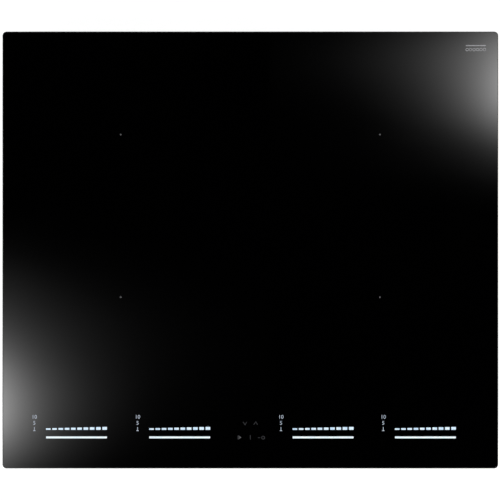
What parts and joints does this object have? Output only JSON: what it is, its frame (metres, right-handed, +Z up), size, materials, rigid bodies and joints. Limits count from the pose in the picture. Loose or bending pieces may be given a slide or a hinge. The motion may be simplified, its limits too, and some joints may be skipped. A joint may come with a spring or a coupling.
{
  "type": "built-in induction hob",
  "caption": "Flush black glass induction hob with round-cornered zones marked by dots, touch sliders at the front, and a slotted steel casing that hangs in a worktop.",
  "frame": {"origin": "under the middle of the casing, on the plane that the casing's floor stands on", "axes": "+X to the cook's right, +Y away from the cook to the rear edge, +Z up through the glass"},
  "size_m": [0.59, 0.52, 0.056],
  "materials": {
    "ceramic_glass": "polished black glass ceramic",
    "seal_foam": "closed-cell foam tape",
    "silicone": "cured silicone",
    "galvanised_steel": "hot-dip galvanised sheet",
    "aluminium_sheet": "mill finish sheet",
    "aluminium_extrusion": "extruded, with fine die lines",
    "litz_wire": "stranded enamelled wire",
    "ferrite": "sintered, matt",
    "mica": "pressed mica paper",
    "black_plastic": "moulded, glass filled",
    "white_plastic": "moulded, heat resistant",
    "grey_plastic": "moulded, fine grained",
    "light_guide": "milky, lit from behind",
    "green_board": "solder mask over copper tracks",
    "tan_board": "bare paper laminate",
    "zinc_steel": "zinc plated",
    "rubber": "moulded, matt"
  },
  "bodies": {
    "root": {"glass_plate": "ceramic_glass", "worktop_seal": "seal_foam", "adhesive_bead": "silicone", "top_frame": "galvanised_steel", "base_tray": "galvanised_steel", "filter_board": "tan_board", "terminal_box": "black_plastic", "terminal_block": "white_plastic", "cable_grommet": "rubber", "cable_clamp": "grey_plastic", "control_carrier": "black_plastic", "control_board": "green_board", "ribbon_cable": "grey_plastic", "coil_support_left": "aluminium_sheet", "mica_sheet_left": "mica", "board_carrier_left": "black_plastic", "power_board_left": "green_board", "heat_sink_left": "aluminium_extrusion", "blower_housing_left": "black_plastic", "coil_support_right": "aluminium_sheet", "mica_sheet_right": "mica", "board_carrier_right": "black_plastic", "power_board_right": "green_board", "heat_sink_right": "aluminium_extrusion", "blower_housing_right": "black_plastic", "ferrite_bars_front_left": "ferrite", "coil_carrier_front_left": "white_plastic", "coil_winding_front_left": "litz_wire", "temperature_sensor_front_left": "silicone", "ferrite_bars_front_right": "ferrite", "coil_carrier_front_right": "white_plastic", "coil_winding_front_right": "litz_wire", "temperature_sensor_front_right": "silicone", "ferrite_bars_rear_left": "ferrite", "coil_carrier_rear_left": "white_plastic", "coil_winding_rear_left": "litz_wire", "temperature_sensor_rear_left": "silicone", "ferrite_bars_rear_right": "ferrite", "coil_carrier_rear_right": "white_plastic", "coil_winding_rear_right": "litz_wire", "temperature_sensor_rear_right": "silicone", "light_guide_1": "light_guide", "light_guide_2": "light_guide", "light_guide_3": "light_guide", "light_guide_4": "light_guide"},
    "impeller_left": {"blower_impeller_left": "grey_plastic"},
    "impeller_right": {"blower_impeller_right": "grey_plastic"},
    "cover": {"terminal_cover": "black_plastic"},
    "screw_front_left": {"clamp_screw_front_left": "zinc_steel"},
    "nut_front_left": {"clamp_nut_front_left": "zinc_steel"},
    "arm_front_left": {"clamp_arm_front_left": "zinc_steel"},
    "screw_front_right": {"clamp_screw_front_right": "zinc_steel"},
    "nut_front_right": {"clamp_nut_front_right": "zinc_steel"},
    "arm_front_right": {"clamp_arm_front_right": "zinc_steel"},
    "screw_rear_left": {"clamp_screw_rear_left": "zinc_steel"},
    "nut_rear_left": {"clamp_nut_rear_left": "zinc_steel"},
    "arm_rear_left": {"clamp_arm_rear_left": "zinc_steel"},
    "screw_rear_right": {"clamp_screw_rear_right": "zinc_steel"},
    "nut_rear_right": {"clamp_nut_rear_right": "zinc_steel"},
    "arm_rear_right": {"clamp_arm_rear_right": "zinc_steel"}
  },
  "joints": [
    {"name": "impeller_left_spin", "type": "hinge", "parent": "root", "child": "impeller_left", "pos_m": [-0.132, 0.168, 0.017], "axis": [0, 0, 1], "continuous": true},
    {"name": "impeller_right_spin", "type": "hinge", "parent": "root", "child": "impeller_right", "pos_m": [0.132, 0.168, 0.017], "axis": [0, 0, 1], "continuous": true},
    {"name": "cover_hinge", "type": "hinge", "parent": "root", "child": "cover", "pos_m": [0, 0.181, 0.0034], "axis": [-1, 0, 0], "range_deg": [0, 100]},
    {"name": "screw_front_left_turn", "type": "hinge", "parent": "root", "child": "screw_front_left", "pos_m": [-0.266, -0.13, 0.0256], "axis": [0, 0, 1], "range_deg": [0, 8280]},
    {"name": "nut_front_left_climb", "type": "slide", "parent": "root", "child": "nut_front_left", "axis": [0, 0, 1], "range_m": [0, 0.0184]},
    {"name": "arm_front_left_swing", "type": "hinge", "parent": "nut_front_left", "child": "arm_front_left", "pos_m": [-0.266, -0.13, 0.0075], "axis": [0, 0, -1], "range_deg": [0, 90]},
    {"name": "screw_front_right_turn", "type": "hinge", "parent": "root", "child": "screw_front_right", "pos_m": [0.266, -0.13, 0.0256], "axis": [0, 0, 1], "range_deg": [0, 8280]},
    {"name": "nut_front_right_climb", "type": "slide", "parent": "root", "child": "nut_front_right", "axis": [0, 0, 1], "range_m": [0, 0.0184]},
    {"name": "arm_front_right_swing", "type": "hinge", "parent": "nut_front_right", "child": "arm_front_right", "pos_m": [0.266, -0.13, 0.0075], "axis": [0, 0, 1], "range_deg": [0, 90]},
    {"name": "screw_rear_left_turn", "type": "hinge", "parent": "root", "child": "screw_rear_left", "pos_m": [-0.266, 0.13, 0.0256], "axis": [0, 0, 1], "range_deg": [0, 8280]},
    {"name": "nut_rear_left_climb", "type": "slide", "parent": "root", "child": "nut_rear_left", "axis": [0, 0, 1], "range_m": [0, 0.0184]},
    {"name": "arm_rear_left_swing", "type": "hinge", "parent": "nut_rear_left", "child": "arm_rear_left", "pos_m": [-0.266, 0.13, 0.0075], "axis": [0, 0, 1], "range_deg": [0, 90]},
    {"name": "screw_rear_right_turn", "type": "hinge", "parent": "root", "child": "screw_rear_right", "pos_m": [0.266, 0.13, 0.0256], "axis": [0, 0, 1], "range_deg": [0, 8280]},
    {"name": "nut_rear_right_climb", "type": "slide", "parent": "root", "child": "nut_rear_right", "axis": [0, 0, 1], "range_m": [0, 0.0184]},
    {"name": "arm_rear_right_swing", "type": "hinge", "parent": "nut_rear_right", "child": "arm_rear_right", "pos_m": [0.266, 0.13, 0.0075], "axis": [0, 0, -1], "range_deg": [0, 90]}
  ],
  "couplings": [
    {"joint": "screw_front_left_turn", "follows": "nut_front_left_climb", "rad_per_m": 7854},
    {"joint": "screw_front_right_turn", "follows": "nut_front_right_climb", "rad_per_m": 7854},
    {"joint": "screw_rear_left_turn", "follows": "nut_rear_left_climb", "rad_per_m": 7854},
    {"joint": "screw_rear_right_turn", "follows": "nut_rear_right_climb", "rad_per_m": 7854}
  ]
}
